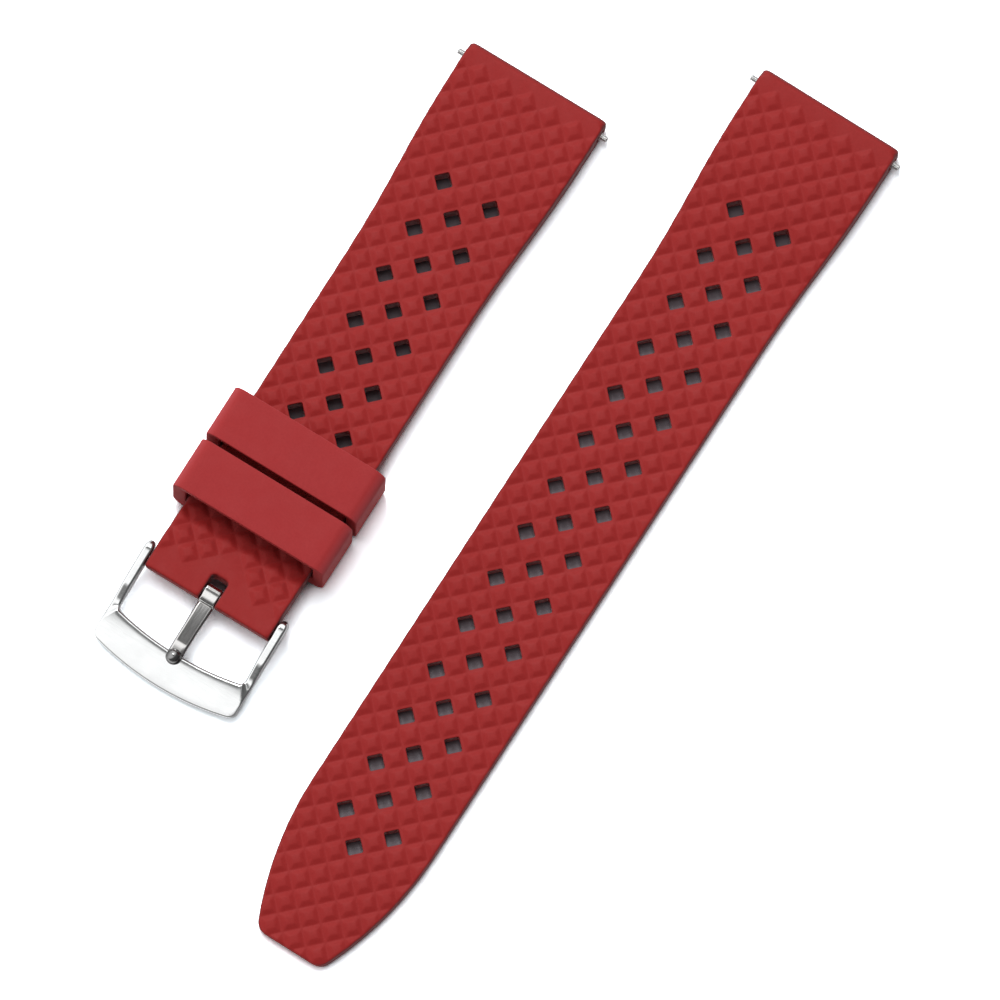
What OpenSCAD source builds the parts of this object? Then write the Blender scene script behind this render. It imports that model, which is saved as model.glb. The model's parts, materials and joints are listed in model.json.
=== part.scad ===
// Two-piece rubber watch strap with square holes, two loose keepers, a steel tang buckle
// and three spring bars. The two halves lie side by side, lug ends towards +Y.
// The tail half lies flat. The buckle half rests on its lug end and on its keepers.

/* [Strap halves] */
// Width at the lug end
lug_w = 19.9; // [17.8:0.1:22]
// Width over the parallel run, up to the buckle and the tail tip
band_w = 18; // [16:0.1:20]
// Length of the half that carries the buckle
buckle_half_l = 78.5; // [72:0.5:95]
// Length of the half with the long row of holes
tail_half_l = 126; // [120:0.5:150]
// Where the halves start to narrow, from the lug edge
taper_start = 3; // [2:0.5:8]
// Length over which the halves narrow to the parallel run
taper_l = 31; // [20:1:36]
// Thickness at the lug end
lug_t = 3.8; // [3.2:0.1:5]
// Thickness of the buckle half past the lug end
band_t = 2.7; // [2.2:0.1:3.1]
// Thickness at the buckle end, around the buckle bar
buckle_end_t = 3.2; // [2.9:0.1:3.6]
// Thickness of the tail half past the lug end
tail_t = 2.5; // [2.1:0.1:3]
// Thickness at the tail tip
tip_t = 2.2; // [1.8:0.1:2.6]

/* [Corners and tip] */
// Radius of the lug corners, seen from above
lug_corner_r = 0.5; // [0.3:0.1:1.5]
// Radius of the edges of the lug end, seen from the side
lug_edge_r = 0.8; // [0.4:0.1:1.2]
// Radius of the edges at the buckle end and the tail tip, seen from the side
end_edge_r = 0.5; // [0.2:0.1:0.9]
// Radius of the two corners of the buckle end, seen from above
end_corner_r = 0.2; // [0.1:0.1:0.9]
// Length of the curved tail tip
tip_l = 19.8; // [14:0.1:24]
// Radius of each long curve of the tail tip
tip_side_r = 46.3; // [40:0.1:60]
// Radius of the two corners of the tail tip
tip_corner_r = 1.2; // [0.6:0.1:2]

/* [Holes] */
// Side of one diamond cell of the surface pattern, which also spaces the holes
cell = 2.45; // [2.2:0.05:2.6]
// Side of one square hole
hole_side = 1.85; // [1.4:0.05:2]
// Distance from the lug edge to the first pair of holes
hole_start = 17.2; // [14:0.1:22]
// Least distance from the last hole of the tail half to its tip
tail_bare = 15; // [8:0.5:30]
// Least distance from the last pair of holes of the buckle half to the upper keeper
buckle_bare = 1.5; // [1.5:0.5:12]

/* [Keepers] */
// Wall of a keeper at its sides
keeper_wall = 1.7; // [1:0.1:2]
// Thickness of a keeper above the strap
keeper_top = 2.2; // [1.2:0.1:2.6]
// Thickness of a keeper below the strap
keeper_bottom = 1.5; // [0.9:0.1:1.8]
// Length of one keeper along the strap
keeper_l = 7; // [4:0.1:9]
// Gap between the two keepers at rest
keeper_gap = 0.8; // [0.6:0.1:3]
// Distance from the buckle end of the strap to the lower keeper
keeper_back = 9.7; // [9:0.1:14]
// Radius of the outer long edges of a keeper
keeper_r = 1.6; // [1:0.1:1.7]

/* [Buckle] */
// Width of one arm, seen from above
arm_w = 1.2; // [1.1:0.05:1.8]
// Height of an arm around the bar
arm_h = 2.5; // [2.2:0.1:3.4]
// How far the arms reach past the bar, towards the lug end
arm_reach = 2; // [1.6:0.1:3]
// How far the arms dip below the front bar's top where they meet it
arm_dip = 0.6; // [0.1:0.05:0.9]
// Distance from the bar to the front bar, beside the arms
window_l = 7.55; // [7:0.05:10]
// Width of the front bar beside the arms
front_w = 4.3; // [3:0.1:6]
// How far the inner edge of the front bar bows out
inner_bow = 1.05; // [0.2:0.05:2]
// How far the outer edge of the front bar bows out
outer_bow = 1.45; // [0.5:0.05:3]
// Thickness of the front bar
front_t = 1.8; // [1.4:0.1:2.4]
// Radius of the outer corners of the frame
frame_corner_r = 1.2; // [0.6:0.1:2.5]
// Width of the tongue where it is rolled around the bar
curl_w = 2.2; // [1.6:0.05:3]
// Thickness of the rolled strip
curl_t = 0.38; // [0.3:0.01:0.6]
// Width of the tongue's shank
shank_w = 2; // [1.4:0.1:2.4]
// Thickness of the tongue's shank
shank_t = 0.85; // [0.6:0.05:1.2]
// How far below the bar's middle the underside of the shank starts
shank_low = 0.9; // [-0.2:0.05:1]
// Radius of the tongue's round tip
tongue_tip_r = 1.03; // [0.8:0.01:1.3]

/* [Spring bars] */
// Outside diameter of the lug bars
lug_bar_d = 1.8; // [1.6:0.1:2.2]
// Outside diameter of the buckle bar
buckle_bar_d = 1.4; // [1.4:0.05:1.8]
// Diameter of the pivots that stand out of the lug bars
lug_pivot_d = 0.8; // [0.7:0.05:1]
// Diameter of the pivots that stand out of the buckle bar
buckle_pivot_d = 0.6; // [0.5:0.05:0.65]
// How far a lug bar's pivots stand out of the strap
pivot_out = 1; // [0.8:0.1:1.4]
// How far a buckle bar's pivots reach into the arms
pivot_in_arm = 0.75; // [0.5:0.05:0.85]
// Wall of the bars' tubes
tube_wall = 0.17; // [0.15:0.01:0.2]
// Number of curls of each bar's spring
spring_curls = 14; // [8:1:18]

/* [Fits] */
// Radial clearance of each bar in its bore and of each pivot in its hole
bore_clear = 0.05; // [0.02:0.01:0.1]
// Clearance between the tongue and the slot's side walls
slot_clear = 0.075; // [0.05:0.005:0.2]
// Clearance between the strap's underside and the keepers
keeper_clear = 0.05; // [0.03:0.01:0.15]
// Room on each side of the strap inside a keeper
keeper_side_room = 0.3; // [0.2:0.05:1]
// Room above both halves of the strap inside a keeper, when the tail is tucked in
keeper_top_room = 0.3; // [0.1:0.05:1]
// Gap between the strap's sides and the arms of the buckle
arm_gap = 0.125; // [0.1:0.005:0.3]
// Clearance between the tongue and the front bar
tongue_clear = 0.06; // [0.03:0.01:0.15]

/* [Layout of the two halves] */
// Distance between the centre lines of the two halves
spacing = 32.7; // [28:0.1:50]
// How far the buckle half's lug end lies behind the tail half's
stagger = 16.7; // [0:0.1:24]
// Turn of the buckle half about its lug edge's middle, seen from above
half_turn = 0.66; // [-2:0.01:2]

/* [Hidden] */

rubber = "#962f2e";
keeper_rubber = "#a63a3c";
steel = "#c9cccc";
spring_steel = "#9fa3a5";
$fn = 48;

// Steps of a round stretch and of the long tapers in the outlines
arc_steps = 8;
taper_steps = 12;
tip_steps = 14;
// Room that a cut runs past the surface that it opens
over = 1;

// The holes sit on every second diamond: this is their spacing across and along the strap
hole_pitch = cell*sqrt(2);

// The lug bar lies in the middle of the lug end's thickness, a little nearer the end
lug_bar_forward = 0.2;
lug_bar_s = lug_t/2 - lug_bar_forward;
lug_bar_z = lug_t/2;
// The buckle bar lies in the middle of the buckle end's thickness
buckle_bar_wall = 0.6;
buckle_bar_back = buckle_bar_d/2 + bore_clear + buckle_bar_wall;
buckle_bar_s = buckle_half_l - buckle_bar_back;
buckle_bar_z = buckle_end_t/2;
// Stretch over which the strap thickens towards the buckle bar
end_rise_l = 7;
end_flat_l = 3.2;
// Stretch over which the strap thins from the lug end
thin_start = 4;
thin_l = 24;

// The slot for the tongue's curl, open at the buckle end
curl_r = buckle_bar_d/2 + bore_clear + curl_t;
slot_room = 1.1;
slot_w = curl_w + 2*slot_clear;
slot_l = buckle_bar_back + curl_r + slot_room;
slot_r = 0.6;

keeper_in_w = band_w + 2*keeper_side_room;
keeper_in_h = keeper_clear + band_t + tip_t + keeper_top_room;
keeper_w = keeper_in_w + 2*keeper_wall;
keeper_h = keeper_in_h + keeper_top + keeper_bottom;
keeper_in_r = 0.3;
lower_keeper_s = buckle_half_l - keeper_back - keeper_l;
upper_keeper_s = lower_keeper_s - keeper_gap - keeper_l;

// As many pairs of holes as fit, with a middle hole after each pair of the tail half
tail_pairs = floor(((tail_half_l - tail_bare - hole_start)/hole_pitch + 1)/2);
buckle_pairs = floor((upper_keeper_s - buckle_bare - hole_start)/(2*hole_pitch)) + 1;

// The strap's underside lies this far above a keeper's underside
keeper_drop = keeper_bottom + keeper_clear;
// The buckle half turns about its lug end's lowest edge until the upper keeper touches down
half_tilt = atan2(keeper_drop, upper_keeper_s - lug_edge_r);

// The whole model is centred over the rest plane
bar_reach = lug_w/2 + pivot_out;
function reach_left(half, s) = half*cos(half_turn) - s*sin(half_turn);
left_reach = max(
    reach_left(bar_reach, lug_bar_s),
    reach_left(keeper_w/2, upper_keeper_s),
    reach_left(keeper_w/2, lower_keeper_s + keeper_l));
total_w = left_reach + spacing + bar_reach;
buckle_x = left_reach - total_w/2;
tail_x = total_w/2 - bar_reach;
tail_lug_y = tail_half_l/2;
buckle_lug_y = tail_lug_y - stagger;

// Frame of the buckle, around the bar's axis: y runs from the front bar towards the lug end
frame_in_w = band_w + 2*arm_gap;
frame_w = frame_in_w + 2*arm_w;
front_bottom = -1;
front_top = front_bottom + front_t;
front_dome_r = 9;
window_corner_r = 0.7;
inner_bow_r = (pow(frame_in_w/2, 2) + inner_bow*inner_bow)/(2*inner_bow);
outer_bow_r = (pow(frame_w/2, 2) + outer_bow*outer_bow)/(2*outer_bow);
front_out = window_l + front_w + outer_bow;
arm_hole_gap = 0.1;
arm_hole_deep = pivot_in_arm + arm_hole_gap;

// The frame hangs from the bar until its front bar touches the rest plane
bar_height = (buckle_bar_s - lug_edge_r)*sin(half_tilt) + buckle_bar_z*cos(half_tilt);
floor_gap = 0.02;
frame_droop = asin((bar_height - floor_gap)/norm([front_out, front_bottom]))
    - atan2(-front_bottom, front_out);
bar_y = -lug_edge_r - (buckle_bar_s - lug_edge_r)*cos(half_tilt)
    + buckle_bar_z*sin(half_tilt);

// Tongue: its shank is an arch from the curl to the front bar
tip_past_edge = 0.35;
tip_ball_rise = 0.1;
tongue_tip_y = window_l + inner_bow + tip_past_edge;
tongue_rest_z = front_top + tongue_clear;
arch_rise = 0.35;
shank_steps = 12;

// Spring bars: a tube with a lip at each end, two stepped tips and one spring
tube_short = 0.2;
lip_l = 0.5;
head_l = 1.2;
head_clear = 0.05;
head_shoulder = 0.05;
pivot_chamfer = 0.12;
collar_out = 0.1;
lug_tube_l = lug_w - 2*tube_short;
buckle_tube_l = band_w - 2*tube_short;
spring_end_gap = 0.05;
wire_share = 0.4;
wire_sides = 6;
rings_per_curl = 8;

function clamp01(u) = min(1, max(0, u));
// Runs from 0 to 1 with soft ends
function ease(u) = u - 0.5*sin(360*u)/(2*PI);
function taper_at(s) = ease(clamp01((s - taper_start)/taper_l));
function half_w(s) = (lug_w - (lug_w - band_w)*taper_at(s))/2;
function thin_at(s) = ease(clamp01((s - thin_start)/thin_l));
function buckle_side_t(s) = lug_t - (lug_t - band_t)*thin_at(s)
    + (buckle_end_t - band_t)
    *ease(clamp01((s - buckle_half_l + end_flat_l + end_rise_l)/end_rise_l));
function tail_side_t(s) = lug_t - (lug_t - tail_t)*thin_at(s)
    - (tail_t - tip_t)*clamp01((s - thin_start - thin_l)/(tail_half_l - thin_start - thin_l));

function arc(c, r, a0, a1, n = arc_steps) =
    [for (i = [0:n]) c + r*[cos(a0 + (a1 - a0)*i/n), sin(a0 + (a1 - a0)*i/n)]];
// The points of one side, and the same points mirrored, in order around the outline
function both_sides(points) =
    concat(points, [for (i = [len(points) - 1:-1:0]) [-points[i][0], points[i][1]]]);
function lug_side() = concat(
    arc([lug_w/2 - lug_corner_r, -lug_corner_r], lug_corner_r, 90, 0),
    [for (i = [0:taper_steps])
        let (s = taper_start + taper_l*i/taper_steps)
        [half_w(s), -s]]);

// Outline of the buckle half from above
function buckle_side_outline() = both_sides(concat(
    lug_side(),
    arc([band_w/2 - end_corner_r, -(buckle_half_l - end_corner_r)], end_corner_r, 0, -90)));

// Outline of the tail half from above, with two long curves and a flat end
tip_turn = asin((tip_l - tip_corner_r)/(tip_side_r - tip_corner_r));
tip_corner_x = band_w/2 - tip_side_r + (tip_side_r - tip_corner_r)*cos(tip_turn);
function tail_side_outline() = both_sides(concat(
    lug_side(),
    arc([band_w/2 - tip_side_r, -(tail_half_l - tip_l)], tip_side_r, 0, -tip_turn, tip_steps),
    arc([tip_corner_x, -(tail_half_l - tip_corner_r)], tip_corner_r, -tip_turn, -90)));

// Side view of a half: y along the strap, z up, from its length and its row of top points
function side_view(l, end_t, tops) = concat(
    arc([-lug_edge_r, lug_t - lug_edge_r], lug_edge_r, 0, 90),
    tops,
    arc([-(l - end_edge_r), end_t - end_edge_r], end_edge_r, 90, 180),
    arc([-(l - end_edge_r), end_edge_r], end_edge_r, 180, 270),
    arc([-lug_edge_r, lug_edge_r], lug_edge_r, 270, 360));
function thin_tops(tail) = [for (i = [0:taper_steps])
    let (s = thin_start + thin_l*i/taper_steps)
    [-s, tail ? tail_side_t(s) : buckle_side_t(s)]];
function rise_tops() = [for (i = [0:arc_steps])
    let (s = buckle_half_l - end_flat_l - end_rise_l*(1 - i/arc_steps))
    [-s, buckle_side_t(s)]];

// Turns a side view into a solid that runs along X, centred on the middle
module along_x(w) {
    translate([-w/2, 0, 0])
        rotate([90, 0, 90])
            linear_extrude(height = w) children();
}

module cylinder_x(r, l) {
    rotate([0, 90, 0]) cylinder(r = r, h = l, center = true);
}

// Square holes, set on their corners: pairs in every second row, one hole in between
module hole_at(column, row) {
    translate([column*hole_pitch, -hole_start - row*hole_pitch, lug_t/2])
        rotate([0, 0, 45])
            cube([hole_side, hole_side, lug_t + 2*over], center = true);
}

module hole_rows(pairs, middles) {
    for (i = [0:pairs - 1], side = [-1, 1])
        hole_at(side, 2*i);
    for (i = [0:middles - 1])
        hole_at(0, 2*i + 1);
}

module strap_blank(outline, view) {
    intersection() {
        linear_extrude(height = lug_t + over) polygon(outline);
        along_x(lug_w + 2*over) polygon(view);
    }
}

module lug_bore() {
    translate([0, -lug_bar_s, lug_bar_z])
        cylinder_x(lug_bar_d/2 + bore_clear, lug_w + 2*over);
}

// Slot for the tongue's curl, with rounded inner corners
module tongue_slot() {
    translate([0, -buckle_half_l, -over])
        linear_extrude(height = lug_t + 2*over)
            union() {
                translate([-slot_w/2, -over]) square([slot_w, slot_l - slot_r + over]);
                translate([-slot_w/2 + slot_r, 0]) square([slot_w - 2*slot_r, slot_l]);
                for (side = [-1, 1])
                    translate([side*(slot_w/2 - slot_r), slot_l - slot_r]) circle(slot_r);
            }
}

// Carries a piece from the middle of the buckle half's lug edge to its resting place
module at_buckle_half() {
    translate([buckle_x, buckle_lug_y, 0])
        rotate([0, 0, half_turn]) children();
}

// Carries a piece of the buckle half from strap coordinates to its resting place
module on_buckle_half() {
    at_buckle_half()
        translate([0, -lug_edge_r, 0])
            rotate([-half_tilt, 0, 0])
                translate([0, lug_edge_r, 0]) children();
}

module on_tail_half() {
    translate([tail_x, tail_lug_y, 0]) children();
}

module buckle_side_strap() {
    color(rubber) on_buckle_half() difference() {
        strap_blank(buckle_side_outline(),
            side_view(buckle_half_l, buckle_end_t, concat(thin_tops(false), rise_tops())));
        hole_rows(buckle_pairs, buckle_pairs - 1);
        lug_bore();
        tongue_slot();
        translate([0, -buckle_bar_s, buckle_bar_z])
            cylinder_x(buckle_bar_d/2 + bore_clear, band_w + 2*over);
    }
}

module tail_side_strap() {
    color(rubber) on_tail_half() difference() {
        strap_blank(tail_side_outline(),
            side_view(tail_half_l, tip_t, thin_tops(true)));
        hole_rows(tail_pairs, tail_pairs);
        lug_bore();
    }
}

// Rectangle with round corners, centred
module round_rect(w, h, r) {
    square([w - 2*r, h], center = true);
    square([w, h - 2*r], center = true);
    for (x = [-1, 1], y = [-1, 1])
        translate([x*(w/2 - r), y*(h/2 - r)]) circle(r);
}

// Loop around both halves, seen along the strap, from its edge nearest the lug end
module keeper(s) {
    color(keeper_rubber) on_buckle_half()
        translate([0, -s, 0])
            rotate([90, 0, 0])
                linear_extrude(height = keeper_l)
                    difference() {
                        translate([0, keeper_h/2 - keeper_drop])
                            round_rect(keeper_w, keeper_h, keeper_r);
                        translate([0, keeper_in_h/2 - keeper_clear])
                            round_rect(keeper_in_w, keeper_in_h, keeper_in_r);
                    }
}

// Carries a piece that hangs on the buckle bar to its resting place
module on_buckle_bar() {
    at_buckle_half()
        translate([0, bar_y, bar_height])
            rotate([frame_droop, 0, 0]) children();
}

// Front edge of the frame from above: two round corners and one long bow
frame_bow_y = outer_bow_r - front_out;
frame_turn = asin((frame_w/2 - frame_corner_r)/(outer_bow_r - frame_corner_r));
frame_corner_y = frame_bow_y - (outer_bow_r - frame_corner_r)*cos(frame_turn);
function frame_outline() = both_sides(concat(
    [[frame_w/2, arm_reach]],
    arc([frame_w/2 - frame_corner_r, frame_corner_y], frame_corner_r, 0, frame_turn - 90),
    arc([0, frame_bow_y], outer_bow_r, frame_turn - 90, -90, tip_steps)));

// Window of the frame from above, with a bowed front edge
window_bow_y = inner_bow_r - window_l - inner_bow;
window_turn = asin((frame_in_w/2 - window_corner_r)/(inner_bow_r - window_corner_r));
window_corner_y = window_bow_y - (inner_bow_r - window_corner_r)*cos(window_turn);
function window_outline() = both_sides(concat(
    [[frame_in_w/2, arm_reach + over]],
    arc([frame_in_w/2 - window_corner_r, window_corner_y], window_corner_r, 0, window_turn - 90),
    arc([0, window_bow_y], inner_bow_r, window_turn - 90, -90, tip_steps)));

// Side view of the frame: high round-ended arms that run down to a dip beside the front bar
arm_slope_start = 3.6;
dip_half_l = 0.6;
function frame_side() = concat(
    arc([arm_reach - arm_h/2, 0], arm_h/2, -90, 90, 2*arc_steps),
    [[-arm_slope_start, arm_h/2],
     [dip_half_l - window_l, front_top - arm_dip],
     [-window_l - dip_half_l, front_top],
     [-front_out - over, front_top],
     [-front_out - over, front_bottom],
     [-window_l, front_bottom],
     [-arm_slope_start, -arm_h/2]]);

module buckle_frame() {
    color(steel) on_buckle_bar() difference() {
        intersection() {
            translate([0, 0, -arm_h])
                linear_extrude(height = 2*arm_h) polygon(frame_outline());
            along_x(frame_w + 2*over) polygon(frame_side());
            union() {
                translate([-frame_w, -window_l, -arm_h])
                    cube([2*frame_w, window_l + arm_reach + over, 2*arm_h]);
                translate([0, -window_l - front_w/2, front_top - front_dome_r])
                    cylinder_x(front_dome_r, frame_w + 2*over);
            }
        }
        translate([0, 0, -2*arm_h])
            linear_extrude(height = 4*arm_h) polygon(window_outline());
        cylinder_x(buckle_pivot_d/2 + bore_clear, frame_in_w + 2*arm_hole_deep);
    }
}

// Underside of the tongue's arch, at a distance d from the bar
function arch_z(d) =
    let (u = clamp01(d/tongue_tip_y))
    -shank_low*(1 - u) + tongue_rest_z*u + arch_rise*sin(180*u);
function shank_side() = concat(
    [for (i = [0:shank_steps])
        let (d = tongue_tip_y*i/shank_steps)
        [-d, arch_z(d) + shank_t]],
    [for (i = [shank_steps:-1:0])
        let (d = tongue_tip_y*i/shank_steps)
        [-d, arch_z(d)]]);

module buckle_tongue() {
    color(steel) on_buckle_bar() difference() {
        union() {
            cylinder_x(curl_r, curl_w);
            along_x(shank_w) polygon(shank_side());
            intersection() {
                translate([0, -tongue_tip_y, tongue_rest_z + tip_ball_rise]) sphere(tongue_tip_r);
                translate([-2*tongue_tip_r, -2*tongue_tip_y, tongue_rest_z])
                    cube([4*tongue_tip_r, 2*tongue_tip_y, 2*arm_h]);
            }
        }
        cylinder_x(buckle_bar_d/2 + bore_clear, curl_w + 2*over);
    }
}

// Radii inside a spring bar of diameter d: the tube's bore, a tip's head, the lip that holds
// the head in, and the tip's collar that runs in the lip
function tube_r(d) = d/2 - tube_wall;
function head_r(d) = tube_r(d) - head_clear;
function lip_r(d) = head_r(d) - head_shoulder;
function collar_r(d) = lip_r(d) - bore_clear;

// Tube of a spring bar, along X, with its ends rolled in to hold the tips
module bar_tube(l, d) {
    color(steel) rotate([0, 90, 0]) rotate_extrude() polygon([
        [lip_r(d), -l/2],
        [d/2, -l/2],
        [d/2, l/2],
        [lip_r(d), l/2],
        [lip_r(d), l/2 - lip_l],
        [tube_r(d), l/2 - lip_l],
        [tube_r(d), -l/2 + lip_l],
        [lip_r(d), -l/2 + lip_l]]);
}

// Stepped tip of a spring bar, pointing to +X: head, collar and pivot
module bar_tip(l, d, pivot_d, collar_end, reach) {
    head_end = l/2 - lip_l;
    color(steel) rotate([0, 90, 0]) rotate_extrude() polygon([
        [0, head_end - head_l],
        [head_r(d), head_end - head_l],
        [head_r(d), head_end],
        [collar_r(d), head_end],
        [collar_r(d), collar_end],
        [pivot_d/2, collar_end],
        [pivot_d/2, reach - pivot_chamfer],
        [pivot_d/2 - pivot_chamfer, reach],
        [0, reach]]);
}

// Spring between the two heads of a bar: one round wire swept along a helix
function bar_spring_l(l) = l - 2*lip_l - 2*head_l - 2*spring_end_gap;
function coil_point(l, r, t) = [l*(t - 0.5), r*cos(360*spring_curls*t), r*sin(360*spring_curls*t)];
function coil_ring(l, r, wire, t) =
    let (out = [0, cos(360*spring_curls*t), sin(360*spring_curls*t)],
        c = coil_point(l, r, t))
    [for (k = [0:wire_sides - 1])
        c + wire/2*(cos(360*k/wire_sides)*out + sin(360*k/wire_sides)*[1, 0, 0])];

module bar_spring(l, d) {
    wire = wire_share*tube_r(d);
    r = head_r(d) - head_clear - wire/2;
    run = bar_spring_l(l) - wire;
    rings = spring_curls*rings_per_curl;
    points = [for (j = [0:rings]) each coil_ring(run, r, wire, j/rings)];
    sides = [for (j = [0:rings - 1], k = [0:wire_sides - 1])
        let (a = j*wire_sides + k,
            b = j*wire_sides + (k + 1)%wire_sides)
        each [[a, b, a + wire_sides], [b, b + wire_sides, a + wire_sides]]];
    first = [for (k = [1:wire_sides - 2]) [0, k + 1, k]];
    last = [for (k = [1:wire_sides - 2])
        [rings*wire_sides, rings*wire_sides + k, rings*wire_sides + k + 1]];
    echo(least_gap_between_curls = run/spring_curls - wire);
    color(spring_steel) polyhedron(points = points, faces = concat(sides, first, last));
}

buckle_collar_end = frame_in_w/2 - bore_clear;

module lug_bar_piece(piece) {
    translate([0, -lug_bar_s, lug_bar_z]) {
        if (piece == "tube")
            bar_tube(lug_tube_l, lug_bar_d);
        if (piece == "spring")
            bar_spring(lug_tube_l, lug_bar_d);
        if (piece == "left" || piece == "right")
            mirror([piece == "left" ? 1 : 0, 0, 0])
                bar_tip(lug_tube_l, lug_bar_d, lug_pivot_d, lug_w/2 + collar_out, bar_reach);
    }
}

module buckle_bar_piece(piece) {
    on_buckle_bar() {
        if (piece == "tube")
            bar_tube(buckle_tube_l, buckle_bar_d);
        if (piece == "spring")
            bar_spring(buckle_tube_l, buckle_bar_d);
        if (piece == "left" || piece == "right")
            mirror([piece == "left" ? 1 : 0, 0, 0])
                bar_tip(buckle_tube_l, buckle_bar_d, buckle_pivot_d, buckle_collar_end,
                    frame_in_w/2 + pivot_in_arm);
    }
}

// Places of the moving pieces: the keepers' way, the bars and the stretch of each pivot's wall
function turned(p) = [
    p[0]*cos(half_turn) - p[1]*sin(half_turn),
    p[0]*sin(half_turn) + p[1]*cos(half_turn),
    p[2]];
buckle_half_at = [buckle_x, buckle_lug_y, 0];
lug_bar_at = [0,
    -lug_edge_r - (lug_bar_s - lug_edge_r)*cos(half_tilt) + lug_bar_z*sin(half_tilt),
    (lug_bar_s - lug_edge_r)*sin(half_tilt) + lug_bar_z*cos(half_tilt)];
echo(keeper_way = turned([0, cos(half_tilt), -sin(half_tilt)]));
echo(buckle_bar_way = turned([1, 0, 0]), frame_droop = frame_droop);
echo(buckle_bar_at = buckle_half_at + turned([0, bar_y, bar_height]));
echo(buckle_lug_bar_at = buckle_half_at + turned(lug_bar_at));
echo(tail_lug_bar_at = [tail_x, tail_lug_y - lug_bar_s, lug_bar_z]);
echo(pivot_wall = [lug_w/2 + collar_out, bar_reach - pivot_chamfer]);

buckle_side_strap();
tail_side_strap();
keeper(lower_keeper_s);  // lower_keeper
keeper(upper_keeper_s);  // upper_keeper
buckle_frame();
buckle_tongue();
buckle_bar_piece("tube");  // buckle_bar_tube
buckle_bar_piece("spring");  // buckle_bar_spring
buckle_bar_piece("left");  // buckle_bar_left_tip
buckle_bar_piece("right");  // buckle_bar_right_tip
on_buckle_half() lug_bar_piece("tube");  // buckle_lug_bar_tube
on_buckle_half() lug_bar_piece("spring");  // buckle_lug_bar_spring
on_buckle_half() lug_bar_piece("left");  // buckle_lug_bar_left_tip
on_buckle_half() lug_bar_piece("right");  // buckle_lug_bar_right_tip
on_tail_half() lug_bar_piece("tube");  // tail_lug_bar_tube
on_tail_half() lug_bar_piece("spring");  // tail_lug_bar_spring
on_tail_half() lug_bar_piece("left");  // tail_lug_bar_left_tip
on_tail_half() lug_bar_piece("right");  // tail_lug_bar_right_tip
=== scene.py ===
"""Looks of a two-piece rubber watch strap: both moulded halves with their diamond relief and square
holes, two loose keepers, a steel tang buckle and the pivots of the spring bars.
Shapes are worked out in millimetres, in each piece's own coordinates, and placed by the frame."""

import json
import math

import bmesh
import bpy
import numpy as np
from mathutils import Matrix, Vector


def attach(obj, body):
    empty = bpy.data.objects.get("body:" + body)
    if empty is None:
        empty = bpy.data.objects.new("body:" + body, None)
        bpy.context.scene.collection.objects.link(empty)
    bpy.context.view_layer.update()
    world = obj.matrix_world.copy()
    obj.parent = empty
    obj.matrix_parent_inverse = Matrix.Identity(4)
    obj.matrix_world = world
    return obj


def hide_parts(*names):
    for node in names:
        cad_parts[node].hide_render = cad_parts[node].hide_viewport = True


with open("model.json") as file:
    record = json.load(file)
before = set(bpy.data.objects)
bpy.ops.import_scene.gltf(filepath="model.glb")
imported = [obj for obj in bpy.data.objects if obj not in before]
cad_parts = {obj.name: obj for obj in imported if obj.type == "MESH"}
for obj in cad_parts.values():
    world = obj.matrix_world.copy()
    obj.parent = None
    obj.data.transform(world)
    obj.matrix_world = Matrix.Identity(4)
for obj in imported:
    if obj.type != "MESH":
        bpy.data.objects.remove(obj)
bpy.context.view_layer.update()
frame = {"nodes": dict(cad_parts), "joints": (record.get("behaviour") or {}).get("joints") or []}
MM = 0.001

# Sizes of the halves, as built
LUG_W = 19.9
BAND_W = 18.0
BUCKLE_HALF_L = 78.5
TAIL_HALF_L = 126.0
TAPER_START = 3.0
TAPER_L = 31.0
TAPER_STEPS = 24
LUG_T = 3.8
BAND_T = 2.7
BUCKLE_END_T = 3.2
TAIL_T = 2.5
TIP_T = 2.2
THIN_START = 4.0
THIN_L = 24.0
END_RISE_L = 7.0
END_FLAT_L = 3.2
LUG_CORNER_R = 0.5
LUG_EDGE_R = 0.8
EDGE_R = 0.3
END_CORNER_R = 0.2
END_DRAFT = 0.25
END_DRAFT_L = 1.0
TIP_L = 19.8
TIP_SIDE_R = 46.3
TIP_CORNER_R = 1.9
TIP_STEPS = 28
SLOT_W = 2.35
SLOT_L = 3.6
SLOT_R = 0.6

# Relief and holes
CELL = 2.45
HOLE_SIDE = 1.9
HOLE_CORNER_R = 0.22
HOLE_RIM_R = 0.09
HOLE_START = 17.2
TAIL_PAIRS = 14
BUCKLE_PAIRS = 6
RELIEF_H = 0.26
FIRST_ROW = -8
HALF_PITCH = CELL/math.sqrt(2)
# The relief's valleys deepen over this stretch, counted from the lug end
VALLEY_START = 0.5
VALLEY_L = 5
# The buckle half's relief ends at this row in the middle, and one row later in each column beside
# it, up to so many
LAST_ROW = 30
LAST_ROW_V = 3

# Bars, in the halves' coordinates
LUG_BAR_Y = -1.7
LUG_BAR_Z = 1.9
LUG_BORE_R = 0.95
BUCKLE_BAR_Y = -(BUCKLE_HALF_L - 1.35)
BUCKLE_BAR_Z = BUCKLE_END_T/2
BUCKLE_BORE_R = 0.75

# Keepers, in the buckle half's coordinates
KEEPER_IN_W = 18.6
KEEPER_IN_H = 5.25
KEEPER_IN_R = 0.3
KEEPER_WALL = 1.7
KEEPER_TOP = 2.2
KEEPER_BOTTOM = 1.5
KEEPER_R = 1.6
KEEPER_L = 7.0
KEEPER_CLEAR = 0.05
KEEPER_RIM_R = 0.16
KEEPER_DRAFT = 0.3
KEEPER_INNER_RIM_R = 0.12
LOWER_KEEPER_S = 61.8
UPPER_KEEPER_S = 54.0

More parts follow.
